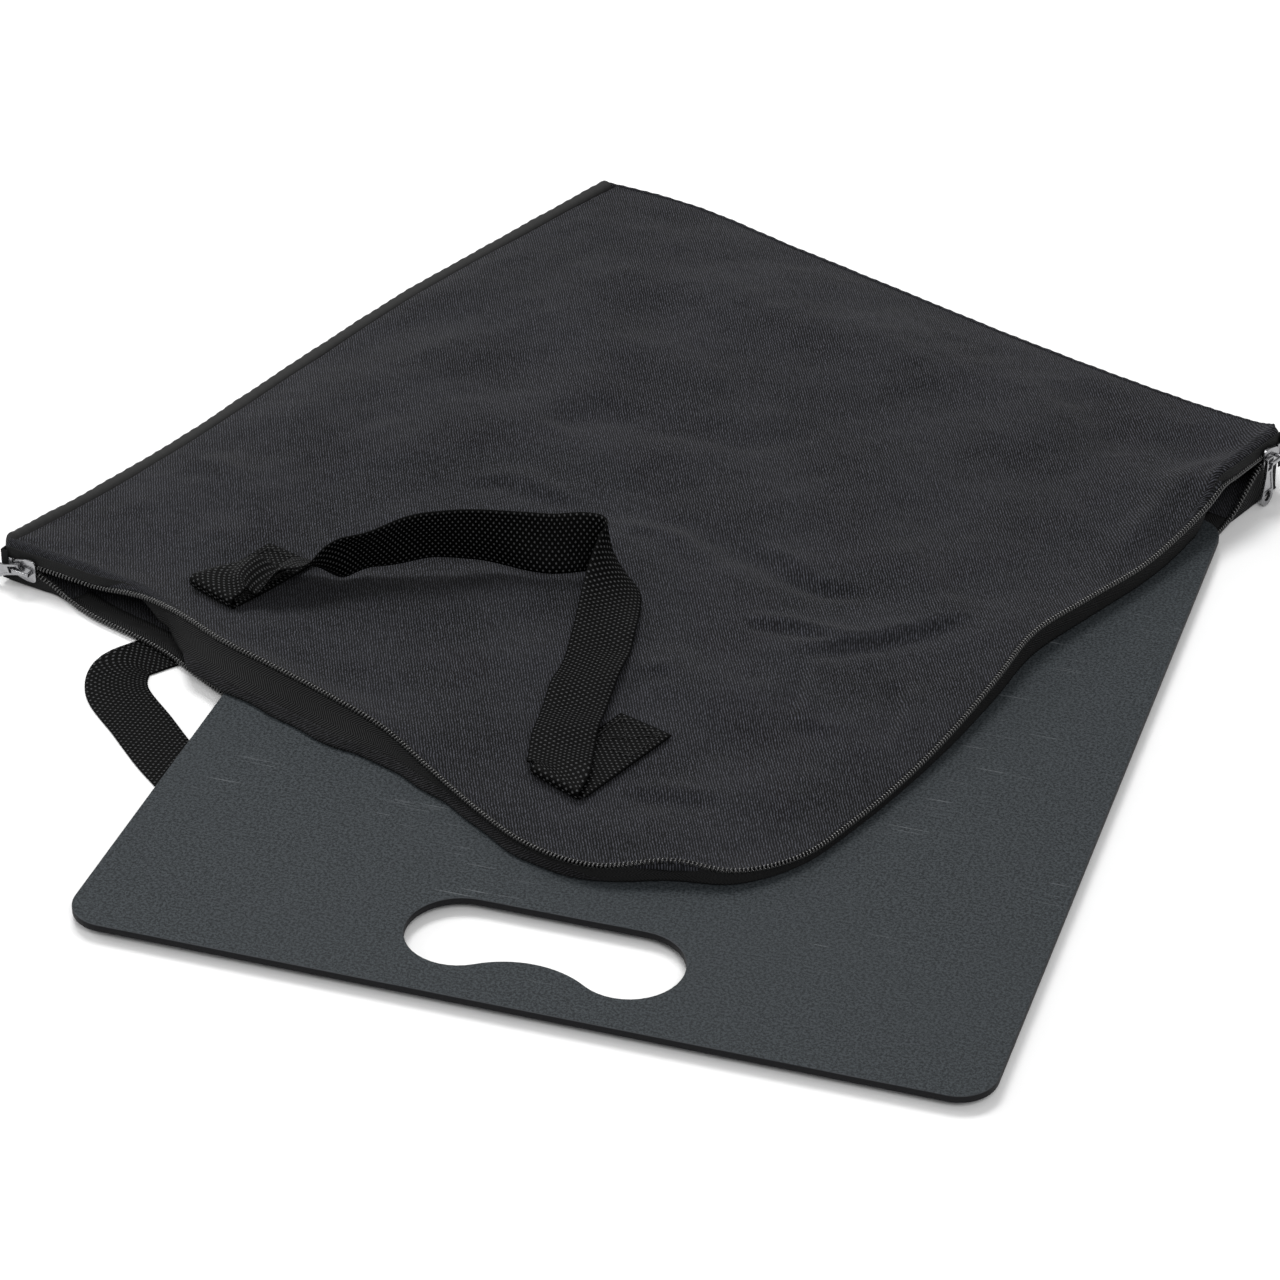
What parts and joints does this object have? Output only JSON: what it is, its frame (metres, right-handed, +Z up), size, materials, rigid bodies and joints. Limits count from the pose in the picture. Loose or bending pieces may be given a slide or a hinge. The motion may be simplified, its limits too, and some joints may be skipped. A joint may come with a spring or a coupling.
{
  "type": "board in zipped carry bag",
  "caption": "Flat rigid board with a rounded hand slot, half drawn out of a thin zipped cloth bag with webbing carry handles.",
  "frame": {"origin": "middle of the bag's underside, on the surface it lies on", "axes": "X along the board's front edge, Y from that edge towards the bag's back, Z up"},
  "size_m": [0.5011, 0.6296, 0.0435],
  "materials": {
    "board_laminate": "fine textured matt laminate, lightly worn at its rim",
    "bag_cloth": "charcoal twill weave",
    "binding_cloth": "smooth turned cloth",
    "webbing": "basket-weave polyester webbing",
    "zip_tape": "herringbone woven zip tape",
    "zip_coil": "moulded nylon coil, satin",
    "zip_metal": "nickel plated, lightly worn",
    "thread": "polyester thread"
  },
  "bodies": {
    "bag": {"bag_top_panel": "bag_cloth", "bag_bottom_panel": "bag_cloth", "left_seam_binding": "binding_cloth", "back_seam": "bag_cloth", "upper_zip_tape": "zip_tape", "lower_zip_tape": "zip_tape", "upper_zip_coil": "zip_coil", "lower_zip_coil": "zip_coil", "left_zip_lead": "zip_tape", "right_zip_lead": "zip_tape", "left_zip_stop": "zip_metal", "right_zip_stop": "zip_metal", "left_zip_tab": "bag_cloth", "right_zip_tab": "bag_cloth", "top_handle_left_end": "webbing", "top_handle_right_end": "webbing", "top_handle_stitching": "thread", "bottom_handle_left_end": "webbing", "bottom_handle_right_end": "webbing", "bottom_handle_stitching": "thread"},
    "board": {"board": "board_laminate"},
    "left_slider": {"left_slider_body": "zip_metal", "left_slider_bridge": "zip_metal"},
    "left_pull": {"left_pull_tab": "zip_metal"},
    "right_slider": {"right_slider_body": "zip_metal", "right_slider_bridge": "zip_metal"},
    "right_pull": {"right_pull_tab": "zip_metal"},
    "top_handle": {"top_handle_loop": "webbing"},
    "bottom_handle": {"bottom_handle_loop": "webbing"}
  },
  "joints": [
    {"name": "board_slide", "type": "slide", "parent": "bag", "child": "board", "axis": [0, -1, 0], "range_m": [-0.012, 0.3]},
    {"name": "left_slider_slide", "type": "slide", "parent": "bag", "child": "left_slider", "axis": [0.9773, -0.212, 0], "range_m": [0, 0.025], "deforming": ["left_zip_lead"]},
    {"name": "right_slider_slide", "type": "slide", "parent": "bag", "child": "right_slider", "axis": [-0.3469, -0.9379, 0], "range_m": [0, 0.02], "deforming": ["right_zip_lead"]},
    {"name": "left_pull_swing", "type": "hinge", "parent": "left_slider", "child": "left_pull", "pos_m": [-0.22377, -0.13502, 0.01], "axis": [0.212, 0.9773, 0], "range_deg": [0, 105]},
    {"name": "right_pull_swing", "type": "hinge", "parent": "right_slider", "child": "right_pull", "pos_m": [0.25283, 0.09029, 0.0215], "axis": [0.9379, -0.3469, 0], "range_deg": [-45, 60]},
    {"name": "top_handle_lift", "type": "hinge", "parent": "bag", "child": "top_handle", "pos_m": [-0.04638, -0.17871, 0.0196], "axis": [0.9046, -0.4259, -0.0166], "range_deg": [0, 100]},
    {"name": "bottom_handle_drop", "type": "hinge", "parent": "bag", "child": "bottom_handle", "pos_m": [-0.0477, -0.18227, 0.0006], "axis": [0.9379, -0.3469, 0], "range_deg": [0, 100]}
  ]
}
